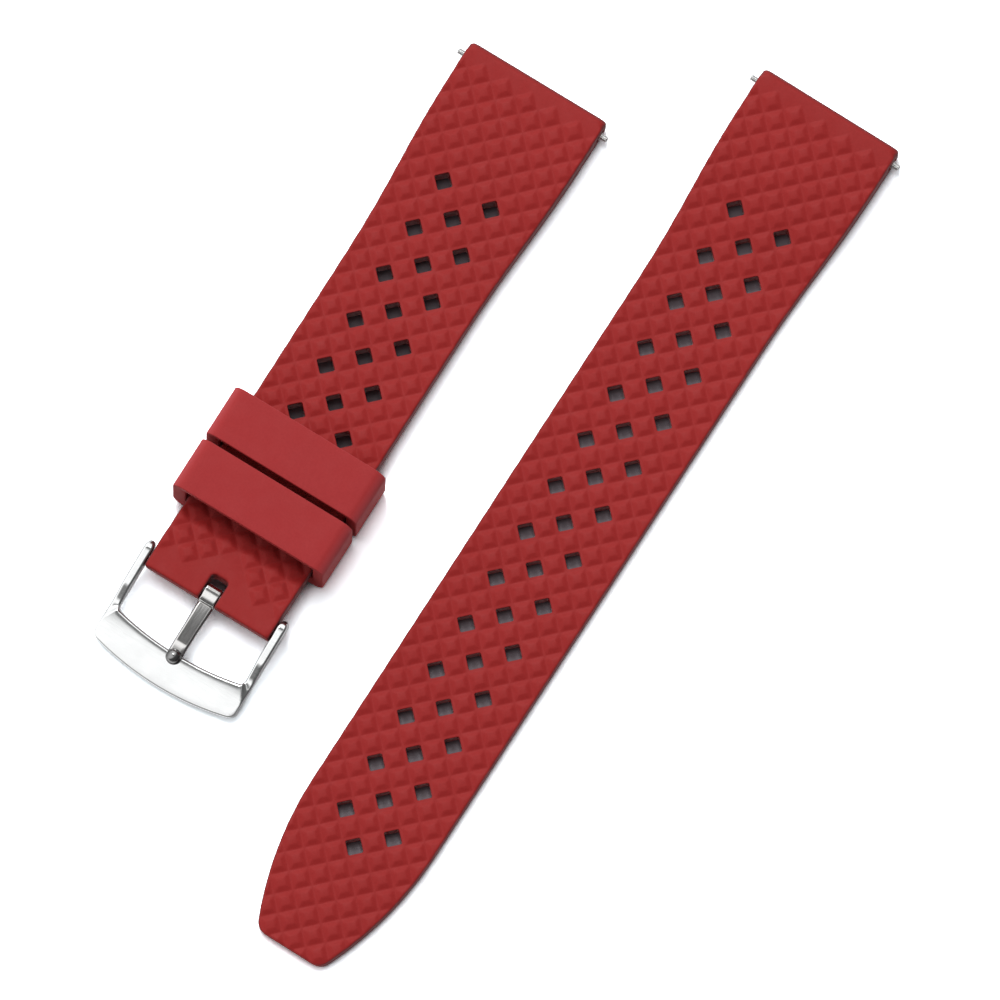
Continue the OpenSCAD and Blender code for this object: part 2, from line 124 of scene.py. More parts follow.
# Buckle, around its bar: x along the bar, y towards the lugs, z up
FRAME_IN_W = 18.25
ARM_W = 1.2
ARM_H = 2.5
ARM_REACH = 2.0
ARM_SLOPE_START = 3.9
ARM_DIP = 0.5
FALL_SOFT = 0.16
FAN_Y = -6.9
ARM_EDGE_R = 0.3
WINDOW_L = 7.55
WINDOW_CORNER_R = 0.7
FRONT_W = 4.3
FRONT_TOP = 0.8
FRONT_BOTTOM = -1.0
FRONT_DOME_R = 25.0
SHOULDER_L = 0.65
SHOULDER_DEEP = 0.07
FRONT_EDGE_R = 0.25
INNER_BOW = 1.05
OUTER_BOW = 1.45
FRAME_CORNER_R = 1.2
FRAME_BOTTOM_R = 0.3
FLOOR_GAP = 0.02
PIVOT_HOLE_R = 0.35
PIVOT_HOLE_DEEP = 0.85
# Turns of an arm's round end, and numbers of cross-sections; the front rises out of the arms' dip
# over the first ones of the corner
ARM_END_TURNS = (86, 76, 63, 50, 36, 22, 10)
ARM_END_POWER = 0.7
ARM_STEPS = 24
CORNER_STEPS = 28
BOW_STEPS = 20
RISE_STEPS = 16
RISE_SOFT = 0.4
# An edge's radius at an arm's end, as shares of the half width and of the half height there
EDGE_OF_WIDTH = 0.85
EDGE_OF_HEIGHT = 0.9

# Tongue, around the same bar; its rolled end is a little square and has a seam
CURL_POWER = 2.7
SEAM_ANGLE = 34
SEAM_HALF = 4.5
SEAM_DEEP = 0.13
CURL_W = 2.2
CURL_R = 1.13
CURL_BORE_R = 0.75
CURL_FRONT = 0.4
CURL_EDGE_R = 0.2
CURL_STEPS = range(0, 360, 5)
SEAM_STEPS = (-5, -3, -1, 0, 2, 3, 5)
CURL_ACROSS = (-0.75, -0.5, 0.0, 0.5, 0.75)
SHANK_W = 2.14
SHANK_EDGE_R = 0.3
SHANK_FOOT_R = 0.08
SHANK_T = 0.85
SHANK_THIN_T = 0.2
SHANK_LOW = 0.9
SHANK_START = 0.84
SHANK_PAST_TIP = 0.3
SHANK_STEPS = 28
# From these distances on, the shank draws in at each side and bends down
SHANK_DRAW = 0.06
DRAW_START = 1
DRAW_L = 4
BEND_DEEP = 0.62
BEND_START = 6.9
BEND_L = 2.1
# From here on the shank's underside rests on the front bar, while enough of it is left above
REST_START = 7.4
REST_LEAST_T = 0.3
ARCH_RISE = 0.22
TONGUE_TIP_D = 8.95
TONGUE_REST_Z = 0.86
TIP_BALL_RISE = 0.1
TIP_BALL_R = 1.03
BALL_TOP_TURN = 86
BALL_STEPS = 14
# Shares of the ball's radius: its foot, and how far from its middle its faces lie at most
BALL_FOOT = 0.9
BALL_REACH = 1.01

# Tips of the lug bars, along the bar from the strap's middle
TIP_HEAD = (8.05, 9.25)
TIP_HEAD_R = 0.68
TIP_COLLAR_END = 10.05
TIP_COLLAR_R = 0.58
PIVOT_END = 10.95
PIVOT_R = 0.4
PIVOT_CHAMFER = 0.12
GROOVES = (10.2, 10.42, 10.64)
GROOVE_DEEP = 0.05
GROOVE_CORNERS = (0.04, 0.09, 0.13)

# Turns of a round edge, and the steps between two of them as shares of the way across
ROUND = [math.radians(a) for a in (0, 22.5, 45, 67.5, 90)]
FLATS = (0.03, 0.06, 0.1, 0.15, 0.3, 0.5, 0.75)
LATHE_STEPS = 48
PIVOT_STEPS = 32

# Edges that turn by more degrees than this stay sharp
RUBBER_SMOOTH = 50
FRAME_SMOOTH = 40
TONGUE_SMOOTH = 38
PIVOT_SMOOTH = 30

joints = {j["name"]: j for j in frame["joints"]}


def half_matrix(bar_joint, along):
    """Carries a half's own millimetres to the frame: x across, y towards the lugs, z up."""
    joint = joints[bar_joint]
    x = Vector(joint["axis"]).normalized()
    y = Vector(along).normalized()
    z = x.cross(y)
    turn = Matrix((x, y, z)).transposed().to_4x4()
    place = Matrix.Translation(Vector(joint["pos_m"]))
    return place @ turn @ Matrix.Scale(MM, 4) @ Matrix.Translation((0, -LUG_BAR_Y, -LUG_BAR_Z))


BUCKLE_HALF = half_matrix("buckle_lug_bar_spin", joints["lower_keeper_slide"]["axis"])
TAIL_HALF = half_matrix("tail_lug_bar_spin", (0, 1, 0))


def buckle_matrix():
    """Carries the buckle's millimetres to the frame, with the front bar's edge on the floor."""
    joint = joints["buckle_turn"]
    x = -Vector(joint["axis"]).normalized()
    bar = Vector(joint["pos_m"])
    front_out = WINDOW_L + FRONT_W + OUTER_BOW
    drop = bar.z/MM - FLOOR_GAP
    droop = math.asin(drop/math.hypot(front_out, FRONT_BOTTOM))
    droop -= math.atan2(-FRONT_BOTTOM, front_out)
    turn = Matrix.Rotation(math.atan2(x.y, x.x), 4, "Z") @ Matrix.Rotation(droop, 4, "X")
    return Matrix.Translation(bar) @ turn @ Matrix.Scale(MM, 4)


BUCKLE = buckle_matrix()


def linked(name, data):
    obj = bpy.data.objects.new(name, data)
    bpy.context.scene.collection.objects.link(obj)
    return obj


def around(ring):
    """Each item of a closed ring with the one after it."""
    return zip(ring, ring[1:] + ring[:1])


def new_object(name, verts, faces):
    """A closed mesh object, still in its own millimetres."""
    mesh = bpy.data.meshes.new(name)
    mesh.from_pydata([tuple(map(float, v)) for v in verts], [], faces)
    bm = bmesh.new()
    bm.from_mesh(mesh)
    bmesh.ops.recalc_face_normals(bm, faces=bm.faces)
    bm.to_mesh(mesh)
    bm.free()
    return linked(name, mesh)


def combine(obj, tool, operation):
    """Joins or cuts a piece with another closed mesh, which is then gone."""
    modifier = obj.modifiers.new(operation, "BOOLEAN")
    modifier.object = tool
    modifier.operation = operation
    modifier.solver = "MANIFOLD"
    graph = bpy.context.evaluated_depsgraph_get()
    mesh = bpy.data.meshes.new_from_object(obj.evaluated_get(graph))
    obj.modifiers.clear()
    obj.data = mesh
    bpy.data.objects.remove(tool)


def settle(obj, matrix, smooth_angle, body, node):
    """Carries a finished piece to its place in the frame and ties it to its body and node."""
    obj.data.transform(matrix)
    obj.data.shade_smooth()
    obj.data.set_sharp_from_angle(angle=math.radians(smooth_angle))
    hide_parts(node)
    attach(obj, body)
    return obj


def loft(name, rings, closed=False):
    """A piece from cross-sections of the same number of points, capped unless it runs in a ring."""
    count = len(rings[0])
    ids = [list(range(i*count, (i + 1)*count)) for i in range(len(rings))]
    faces = []
    for ring, after in around(ids) if closed else zip(ids, ids[1:]):
        faces += [[a, b, d, c] for (a, b), (c, d) in zip(around(ring), around(after))]
    if not closed:
        faces += [ids[0], ids[-1][::-1]]
    return new_object(name, [p for ring in rings for p in ring], faces)


def lathe(name, profile, place, steps=LATHE_STEPS):
    """Turns a profile of (along, radius) points around a line; place(a, c, s) gives each point."""
    rings = []
    for along, r in profile:
        turns = [2*math.pi*k/steps for k in range(steps)]
        rings.append([place(along, r*math.cos(t), r*math.sin(t)) for t in turns])
    return loft(name, rings)


def rod_x(r, start, end, y, z):
    """A plain rod along x, to cut a bore with."""
    return lathe("rod", [(start, r), (end, r)], lambda a, c, s: (a, y + c, z + s))


def ease(u):
    u = np.clip(u, 0, 1)
    return u - 0.5*np.sin(2*np.pi*u)/np.pi


def half_width(s):
    return (LUG_W - (LUG_W - BAND_W)*ease((s - TAPER_START)/TAPER_L))/2


def buckle_side_t(s):
    thin = ease((s - THIN_START)/THIN_L)
    rise = ease((s - BUCKLE_HALF_L + END_FLAT_L + END_RISE_L)/END_RISE_L)
    return LUG_T - (LUG_T - BAND_T)*thin + (BUCKLE_END_T - BAND_T)*rise


def tail_side_t(s):
    thin = ease((s - THIN_START)/THIN_L)
    rest = np.clip((s - THIN_START - THIN_L)/(TAIL_HALF_L - THIN_START - THIN_L), 0, 1)
    return LUG_T - (LUG_T - TAIL_T)*thin - (TAIL_T - TIP_T)*rest


def arc(centre, r, start, end, steps=8):
    """Points of an arc, from angle start to angle end in degrees."""
    angles = [math.radians(start + (end - start)*i/steps) for i in range(steps + 1)]
    return [(centre[0] + r*math.cos(a), centre[1] + r*math.sin(a)) for a in angles]


def lug_side():
    taper = [TAPER_START + TAPER_L*i/TAPER_STEPS for i in range(TAPER_STEPS + 1)]
    return arc((LUG_W/2 - LUG_CORNER_R, -LUG_CORNER_R), LUG_CORNER_R, 90, 0) + [
        (float(half_width(s)), -s) for s in taper]


def both_sides(points):
    """Closes a right-hand side, given from the lug end on, with its mirror image, anticlockwise."""
    outline = points + [(-x, y) for x, y in reversed(points)]
    return np.array(outline[::-1])


def buckle_side_outline():
    slot_end = -(BUCKLE_HALF_L - SLOT_L)
    return both_sides(
        lug_side()
        + arc((BAND_W/2 - END_CORNER_R, -(BUCKLE_HALF_L - END_CORNER_R)), END_CORNER_R, 0, -90)
        + [(SLOT_W/2, -BUCKLE_HALF_L)]
        + arc((SLOT_W/2 - SLOT_R, slot_end - SLOT_R), SLOT_R, 0, 90))


def tail_side_outline():
    turn = math.degrees(math.asin((TIP_L - TIP_CORNER_R)/(TIP_SIDE_R - TIP_CORNER_R)))
    corner_x = BAND_W/2 - TIP_SIDE_R + (TIP_SIDE_R - TIP_CORNER_R)*math.cos(math.radians(turn))
    return both_sides(
        lug_side()
        + arc((BAND_W/2 - TIP_SIDE_R, -(TAIL_HALF_L - TIP_L)), TIP_SIDE_R, 0, -turn, TIP_STEPS)
        + arc((corner_x, -(TAIL_HALF_L - TIP_CORNER_R)), TIP_CORNER_R, -turn, -90))


NO_LENGTH2 = 1e-12


def nearest_on(outline, points):
    """Signed distance of each point to a closed outline, positive inside, with the nearest point's
    place and its position along the outline, counted in corners."""
    a = outline
    b = np.roll(outline, -1, axis=0)
    ab = b - a
    best = np.full(len(points), np.inf)
    where = np.zeros(len(points))
    place = np.zeros((len(points), 2))
    inside = np.zeros(len(points), bool)
    for k in range(len(a)):
        length2 = float(ab[k] @ ab[k])
        if length2 < NO_LENGTH2:
            continue
        u = np.clip((points - a[k]) @ ab[k]/length2, 0, 1)
        foot = a[k] + u[:, None]*ab[k]
        d = np.hypot(*(points - foot).T)
        closer = d < best
        best[closer] = d[closer]
        where[closer] = k + u[closer]
        place[closer] = foot[closer]
        crosses = (a[k][1] > points[:, 1]) != (b[k][1] > points[:, 1])
        if crosses.any():
            x = a[k][0] + (points[crosses, 1] - a[k][1])*ab[k][0]/ab[k][1]
            inside[crosses] ^= points[crosses, 0] < x
    return np.where(inside, best, -best), place, where


# Grid lines across one cell, denser at the flat top and in the valleys
HALF_STEPS = [0, 0.18, 0.215, 0.3, 0.41, 0.465, 0.5]
CELL_STEPS = np.array([-v for v in HALF_STEPS[:0:-1]] + HALF_STEPS)
STEPS = len(CELL_STEPS) - 1
TOP_SHARE = 0.2
VALLEY_SHARE = 0.475
DIAMOND_POWER = 10
DIAMOND_SOFT = 0.06


def diamond_height(u, v):
    """Height of a raised diamond, from 0 to 1, at a place inside its cell."""
    d = (np.abs(u)**DIAMOND_POWER + np.abs(v)**DIAMOND_POWER)**(1/DIAMOND_POWER)
    slope = (VALLEY_SHARE - d)/(VALLEY_SHARE - TOP_SHARE)
    soft = DIAMOND_SOFT
    low = np.where(slope < soft, np.maximum(slope + soft, 0)**2/(4*soft), slope)
    return np.where(low > 1 - soft, 1 - np.maximum(1 + soft - low, 0)**2/(4*soft), low)


def unturned(a, b):
    """Carries a place in the turned grid to the half's own coordinates."""
    return (a - b)/math.sqrt(2), (a + b)/math.sqrt(2) - HOLE_START


class Lattice:
    """The top of a half from above: cells of a turned square grid, some of them with a hole."""

    def __init__(self, length, holes, raised):
        self.points = []
        self.heights = []
        self.faces = []
        self.holes = []
        self.shared = {}
        reach = int((length + LUG_W)/CELL) + 2
        for m in range(-reach, reach):
            for n in range(-reach, reach):
                column = m - n
                row = -(m + n)
                x = column*HALF_PITCH
                s = HOLE_START + row*HALF_PITCH
                if abs(x) > LUG_W/2 + HALF_PITCH or not -HALF_PITCH < s < length + HALF_PITCH:
                    continue
                if (column, row) in holes:
                    self.hole_cell(m, n)
                else:
                    self.cell(m, n, raised(column, row))

    def point(self, a, b, height):
        self.points.append(unturned(a, b))
        self.heights.append(height)
        return len(self.points) - 1

    def grid_point(self, m, n, i, j, height=0.0):
        key = (m*STEPS + i, n*STEPS + j)
        if key not in self.shared:
            a = (m + CELL_STEPS[i])*CELL
            b = (n + CELL_STEPS[j])*CELL
            self.shared[key] = self.point(a, b, height)
        return self.shared[key]

    def cell(self, m, n, is_raised):
        ids = [[0]*(STEPS + 1) for _ in range(STEPS + 1)]
        for i, u in enumerate(CELL_STEPS):
            for j, v in enumerate(CELL_STEPS):
                inside = 0 < i < STEPS and 0 < j < STEPS
                height = float(diamond_height(u, v)) if is_raised and inside else 0.0
                ids[i][j] = self.grid_point(m, n, i, j, height)
        for i in range(STEPS):
            for j in range(STEPS):
                quad = [ids[i][j], ids[i + 1][j], ids[i + 1][j + 1], ids[i][j + 1]]
                if i == j:
                    self.faces += [[quad[0], quad[1], quad[2]], [quad[0], quad[2], quad[3]]]
                elif i + j == STEPS - 1:
                    self.faces += [[quad[0], quad[1], quad[3]], [quad[1], quad[2], quad[3]]]
                else:
                    self.faces.append(quad)

    def hole_cell(self, m, n):
        rim = [self.grid_point(m, n, i, 0) for i in range(STEPS)]
        rim += [self.grid_point(m, n, STEPS, j) for j in range(STEPS)]
        rim += [self.grid_point(m, n, i, STEPS) for i in range(STEPS, 0, -1)]
        rim += [self.grid_point(m, n, 0, j) for j in range(STEPS, 0, -1)]
        inner = [self.point(a, b, 0.0) for a, b in hole_ring(m, n, HOLE_RIM_R)]
        for (a, b), (d, c) in zip(around(rim), around(inner)):
            self.faces.append([a, b, c, d])
        self.holes.append((m, n))


STRAIGHT_SHARE = 0.8


def rounded_square(half, r, side, t):
    """A point of a square with round corners; t runs from -1 to 1 along one of its four sides."""
    if abs(t) <= STRAIGHT_SHARE:
        p = ((half - r)*t/STRAIGHT_SHARE, -half)
    else:
        turn = math.radians(45*(abs(t) - STRAIGHT_SHARE)/(1 - STRAIGHT_SHARE))
        p = (math.copysign(half - r + r*math.sin(turn), t), -(half - r) - r*math.cos(turn))
    for _ in range(side):
        p = (-p[1], p[0])
    return p


def hole_ring(m, n, more=0.0):
    """Points around a hole, in the turned grid; more makes it larger on each side."""
    points = []
    for side in range(4):
        for step in CELL_STEPS[:-1]:
            a, b = rounded_square(HOLE_SIDE/2 + more, HOLE_CORNER_R + more, side, 2*step)
            points.append((m*CELL + a, n*CELL + b))
    return points


def hole_outline(m, n):
    """Outline of a hole from above, clockwise, because the rubber lies outside it."""
    return np.array([unturned(a, b) for a, b in hole_ring(m, n)][::-1])


# Points this near to the line of a cut move onto it; the other values are those of the search
NEAR_LINE = 0.04
LINE_STEPS = 3
SLOPE_STEP = 1e-3
LEAST_SLOPE2 = 0.25
HALVINGS = 14


def onto_line(points, level):
    """Moves points that are near the line level = 0 onto it, down the steepest slope."""
    for _ in range(LINE_STEPS):
        here = level(points)
        gx = (level(points + [SLOPE_STEP, 0]) - here)/SLOPE_STEP
        gy = (level(points + [0, SLOPE_STEP]) - here)/SLOPE_STEP
        g2 = np.maximum(gx*gx + gy*gy, LEAST_SLOPE2)
        points = points - np.stack([here*gx/g2, here*gy/g2], 1)
    return points


def crossings(kept, other, level):
    """Shares of the ways from kept points to others at which level = 0 is crossed."""
    near = np.zeros(len(kept))
    far = np.ones(len(kept))
    for _ in range(HALVINGS):
        middle = (near + far)/2
        above = level(kept + middle[:, None]*(other - kept)) > 0
        near = np.where(above, middle, near)
        far = np.where(above, far, middle)
    return near


def clip(points, heights, faces, level):
    """Cuts the faces along level = 0 and keeps the side above. Points near the line move onto it."""
    points = np.array(points)
    heights = np.array(heights)
    value = level(points)
    near = np.abs(value) < NEAR_LINE
    state = np.where(near, 0, np.sign(value))
    points[near] = onto_line(points[near], level)
    edges = sorted({(min(v, w), max(v, w)) for face in faces for v, w in around(face)
        if state[v]*state[w] < 0})
    cuts = {edge: len(points) + k for k, edge in enumerate(edges)}
    a, b = np.array([(v, w) if state[v] > 0 else (w, v) for v, w in edges]).T
    share = crossings(points[a], points[b], level)
    points = np.concatenate([points, points[a] + share[:, None]*(points[b] - points[a])])
    heights = np.concatenate([heights, heights[a] + share*(heights[b] - heights[a])])
    return points, heights, kept_parts(faces, state, cuts)


def kept_parts(faces, state, cuts):
    """The parts of the faces above the line, with a new corner where it cuts an edge."""
    kept = []
    for face in faces:
        if max(state[v] for v in face) <= 0:
            continue
        part = []
        for v, w in around(face):
            if state[v] >= 0:
                part.append(v)
            if state[v]*state[w] < 0:
                part.append(cuts[(min(v, w), max(v, w))])
        kept.append(part)
    return kept


def open_loops(faces):
    """Loops of the edges that only one face uses, in the faces' own direction."""
    edges = set()
    for face in faces:
        for v, w in around(face):
            if (w, v) in edges:
                edges.remove((w, v))
            else:
                edges.add((v, w))
    after = dict(edges)
    loops = []
    while after:
        start, here = after.popitem()
        loop = [start]
        while here != start:
            loop.append(here)
            here = after.pop(here)
        loops.append(loop)
    return loops


# Walls of a half: turns of their round edges, and steps down
SKIRT_TURNS = [math.radians(a) for a in (30, 60, 90)]
WALL_STEPS = 3
# A corner of the outline gets its own point if it lies this far from the points beside it
CORNER_CLEAR = 0.03
SAME_PLACE = 1e-6


class Shell:
    """Points and faces of a closed mesh while it grows."""

    def __init__(self):
        self.verts = []
        self.faces = []
        self.floor_rings = []

    def add(self, points):
        first = len(self.verts)
        self.verts += [tuple(map(float, p)) for p in points]
        return list(range(first, first + len(points)))

    def strip(self, above, below):
        """Faces between two rings of the same length; a repeated point makes a triangle."""
        for (a, b), (d, c) in zip(around(above), around(below)):
            quad = [a, d, c, b]
            face = [v for i, v in enumerate(quad) if v != quad[i - 1]]
            if len(face) > 2:
                self.faces.append(face)

    def with_corners(self, loop, outline):
        """Where each point of a loop lands on an outline; points repeat to reach its corners."""
        points = np.array([self.verts[v][:2] for v in loop])
        _, place, where = nearest_on(outline, points)
        count = len(outline)
        ids = []
        outer = []
        for k in range(len(loop)):
            ids.append(loop[k])
            outer.append(place[k])
            after = (k + 1) % len(loop)
            span = (where[after] - where[k]) % count
            if span > count/2:
                continue
            corner = math.floor(where[k]) + 1
            while corner < where[k] + span - SAME_PLACE:
                corner_at = outline[corner % count]
                apart = min(np.hypot(*(corner_at - place[k])), np.hypot(*(corner_at - place[after])))
                if apart > CORNER_CLEAR:
                    first_half = corner - where[k] < span/2
                    ids.append(loop[k] if first_half else loop[after])
                    outer.append(corner_at)
                corner += 1
        return ids, np.array(outer)

    def skirt(self, loop, outline):
        """Walls below a loop of top points: a round edge out to the outline, down, and in again."""
        ids, outer = self.with_corners(loop, outline)
        inner = np.array([self.verts[v] for v in ids])
        out = outer - inner[:, :2]
        r = np.hypot(*out.T)
        top = inner[:, 2]
        low = top - r
        levels = [(math.sin(a), top - r*(1 - math.cos(a))) for a in SKIRT_TURNS]
        levels += [(1.0, low + (r - low)*k/WALL_STEPS) for k in range(1, WALL_STEPS)]
        levels += [(math.sin(a), r*(1 - math.cos(a))) for a in reversed(SKIRT_TURNS)]
        above = ids
        for share, z in levels:
            below = self.add(np.column_stack([inner[:, :2] + share*out, z]))
            self.strip(above, below)
            above = below
        foot = {}
        for v, place in zip(ids, inner):
            if v not in foot:
                foot[v] = self.add([(place[0], place[1], 0.0)])[0]
        ground = [foot[v] for v in ids]
        self.strip(above, ground)
        self.floor_rings.append([v for i, v in enumerate(ground) if v != ground[i - 1]])


def edge_margin(points):
    """How far inside the outline the round edges start: farther at the lug end than elsewhere."""
    s = -points[:, 1]
    return EDGE_R + (LUG_EDGE_R - EDGE_R)*(1 - ease((s - LUG_EDGE_R)/LUG_EDGE_R))


def hole_cells(pairs, middles):
    cells = {(side, 4*i) for i in range(pairs) for side in (-2, 2)}
    return cells | {(0, 4*i + 2) for i in range(middles)}


def strap_half(name, length, outline, thickness, holes, raised):
    lattice = Lattice(length, holes, raised)

    def level(points):
        return nearest_on(outline, points)[0] - edge_margin(points)

    points, heights, faces = clip(lattice.points, lattice.heights, lattice.faces, level)
    s = -points[:, 1]
    flat = thickness(s) - RELIEF_H*ease((s - VALLEY_START)/VALLEY_L)
    shell = Shell()
    shell.add(np.column_stack([points, flat + RELIEF_H*heights]))
    shell.faces = faces
    hole_outlines = [hole_outline(m, n) for m, n in lattice.holes]
    centres = np.array([h.mean(axis=0) for h in hole_outlines])
    for loop in open_loops(faces):
        ring = np.array([shell.verts[v][:2] for v in loop])
        centre = ring.mean(axis=0)
        nearest = np.argmin(np.hypot(*(centres - centre).T))
        is_hole = np.ptp(ring[:, 1]) < 2*CELL and np.hypot(*(centres[nearest] - centre)) < CELL/2
        shell.skirt(loop, hole_outlines[nearest] if is_hole else outline)
    shell.verts = [tuple(map(float, p)) for p in drafted(shell.verts, length)]
    return finish_half(name, shell)


def drafted(points, length):
    """Draws the foot of a half's free end in, as in a mould, so that its end face leans."""
    points = np.array(points)
    near = 1 - np.clip((length + points[:, 1])/END_DRAFT_L, 0, 1)
    deep = np.clip(1 - points[:, 2]/TIP_T, 0, 1)
    points[:, 1] += END_DRAFT*deep*near
    return points


def finish_half(name, shell):
    """Fills the underside, drops unused points and makes the object."""
    bm = bmesh.new()
    used = sorted({v for f in shell.faces for v in f})
    verts = {v: bm.verts.new(shell.verts[v]) for v in used}
    for face in shell.faces:
        bm.faces.new([verts[v] for v in face])
    edges = []
    for ring in shell.floor_rings:
        for v, w in around(ring):
            pair = (verts[v], verts[w])
            edges.append(bm.edges.get(pair) or bm.edges.new(pair))
    bmesh.ops.triangle_fill(bm, use_beauty=True, use_dissolve=False, edges=edges,
        normal=(0, 0, -1))
    mesh = bpy.data.meshes.new(name)
    bm.to_mesh(mesh)
    bm.free()
    return linked(name, mesh)


def tail_raised(column, row):
    return row >= FIRST_ROW


def buckle_raised(column, row):
    """The relief stops before the slot, in an upside-down V."""
    return FIRST_ROW <= row <= LAST_ROW + min(abs(column), LAST_ROW_V)


def keeper(name, start, node):
    """A closed loop of rubber around both halves, with rounded rims."""
    width = KEEPER_IN_W + 2*KEEPER_WALL
    low = -(KEEPER_BOTTOM + KEEPER_CLEAR)
    high = KEEPER_IN_H - KEEPER_CLEAR + KEEPER_TOP
    outer = rounded_box(width, low, high, KEEPER_R)
    inner = rounded_box(KEEPER_IN_W, -KEEPER_CLEAR, KEEPER_IN_H - KEEPER_CLEAR, KEEPER_IN_R)
    rings = []
    for o, i in zip(outer, inner):
        deep = math.dist(o, i)
        ring = []
        for along, depth in rim_profile(KEEPER_L, deep):
            u = depth/deep
            y = -(start + along + KEEPER_DRAFT*u*(1 - 2*along/KEEPER_L))
            ring.append((o[0] + u*(i[0] - o[0]), y, o[1] + u*(i[1] - o[1])))
        rings.append(ring)
    obj = loft(name, rings, closed=True)
    return settle(obj, BUCKLE_HALF, RUBBER_SMOOTH, node, node)


BOX_CORNER_STEPS = 10
BOX_SIDE_STEPS = 16
RIM_STEPS = 8


def rounded_box(width, low, high, r):
    """Rectangle with round corners: the same number of points whatever its size."""
    x = width/2 - r
    corners = [(x, high - r, 0), (-x, high - r, 90), (-x, low + r, 180), (x, low + r, 270)]
    points = []
    for (*middle, start), (*next_middle, next_start) in around(corners):
        points += arc(middle, r, start, start + 90, BOX_CORNER_STEPS)
        here = points[-1]
        goal = arc(next_middle, r, next_start, next_start)[0]
        for j in range(1, BOX_SIDE_STEPS):
            t = j/BOX_SIDE_STEPS
            points.append((here[0] + t*(goal[0] - here[0]), here[1] + t*(goal[1] - here[1])))
    return points


def rim_profile(length, deep):
    """Cross-section of a keeper's wall: along the strap and from its outer face inwards."""
    big = KEEPER_RIM_R
    small = KEEPER_INNER_RIM_R
    end = [(length - big + big*math.sin(t), big - big*math.cos(t)) for t in ROUND]
    end += [(length - small + small*math.cos(t), deep - small + small*math.sin(t)) for t in ROUND]
    steps = range(1, RIM_STEPS)
    top = [(big + (length - 2*big)*k/RIM_STEPS, 0.0) for k in steps]
    bottom = [(length - small - (length - 2*small)*k/RIM_STEPS, deep) for k in steps]
    start = [(length - a, d) for a, d in reversed(end)]
    return top + end + bottom + start


def section(inner, outer, top_at, bottom_at, top_r, bottom_r, shoulder=0.0):
    """A closed cross-section between two points seen from above, with round edges and a soft
    shoulder at the inner edge of its top; top_at and bottom_at give the heights at a y."""
    inner = np.array(inner, float)
    width = math.dist(inner, outer)
    way = (np.array(outer) - inner)/width

    def run(r, height_at, side, shoulder):
        near = [(r*(1 - math.cos(t)), r*(1 - math.sin(t))) for t in ROUND]
        flat = [(r + (width - 2*r)*share, 0.0) for share in FLATS]
        far = [(width - d, drop) for d, drop in reversed(near)]
        points = []
        for d, drop in near + flat + far:
            x, y = inner + way*d
            drop += shoulder*max(0.0, 1 - d/SHOULDER_L)**2
            points.append((x, y, height_at(y) - side*drop))
        return points

    return run(top_r, top_at, 1, shoulder) + run(bottom_r, bottom_at, -1, 0.0)[::-1]


def soft_step(u):
    u = min(1.0, max(0.0, u))
    return u*u*(3 - 2*u)


def ramp(u, soft):
    """A straight rise from 0 to 1 with soft ends."""
    u = min(1.0, max(0.0, u))
    if u > 0.5:
        return 1 - ramp(1 - u, soft)
    return u*u/(2*soft*(1 - soft)) if u < soft else (u - soft/2)/(1 - soft)


def frame_top(y, rise):
    """Top of the frame: level arms that run down to a dip, then up again onto the domed front."""
    fall = ramp((y + ARM_SLOPE_START)/(ARM_SLOPE_START + FAN_Y), FALL_SOFT)
    low = ARM_H/2 + fall*(FRONT_TOP - ARM_DIP - ARM_H/2)
    out = y + WINDOW_L + FRONT_W/2
    dome = FRONT_TOP - FRONT_DOME_R + math.sqrt(FRONT_DOME_R**2 - out**2)
    return low + (dome - low)*rise


def frame_bottom(y):
    t = min(1.0, max(0.0, (y + ARM_SLOPE_START)/(ARM_SLOPE_START - WINDOW_L)))
    return -ARM_H/2 + t*(FRONT_BOTTOM + ARM_H/2)


def spaced(points, count):
    """The same line with its points evenly spaced."""
    points = np.array(points)
    run = np.concatenate([[0], np.cumsum(np.hypot(*np.diff(points, axis=0).T))])
    at = np.linspace(0, run[-1], count)
    return np.column_stack([np.interp(at, run, points[:, k]) for k in (0, 1)])


def bow_and_corner(half, out, bow, corner_r, start_y):
    """One side's edge of the front bar: from the arm round the corner, then along the bow."""
    r = (half*half + bow*bow)/(2*bow)
    bow_y = r - out - bow
    turn = math.degrees(math.asin((half - corner_r)/(r - corner_r)))
    corner_y = bow_y - (r - corner_r)*math.cos(math.radians(turn))
    corner = [(half, start_y)]
    corner += arc((half - corner_r, corner_y), corner_r, 0, turn - 90, BOW_STEPS)
    bow_line = arc((0, bow_y), r, turn - 90, -90, BOW_STEPS)
    return spaced(corner, CORNER_STEPS + 1), np.array(bow_line)


ARM_IN_X = FRAME_IN_W/2
ARM_OUT_X = ARM_IN_X + ARM_W
ARM_END_Y = ARM_REACH - ARM_H/2


def arm_end():
    """Cross-sections of an arm's round end."""
    middle_x = (ARM_IN_X + ARM_OUT_X)/2
    rings = []
    for angle in ARM_END_TURNS:
        turn = math.radians(angle)
        y = ARM_END_Y + ARM_H/2*math.sin(turn)
        half = ARM_W/2*math.cos(turn)**ARM_END_POWER
        height = ARM_H/2*math.cos(turn)
        r = min(ARM_EDGE_R, EDGE_OF_WIDTH*half, EDGE_OF_HEIGHT*height)
        rings.append(section((middle_x - half, y), (middle_x + half, y),
            lambda y, h=height: h, lambda y, h=height: -h, r, min(r, FRAME_BOTTOM_R)))
    return rings


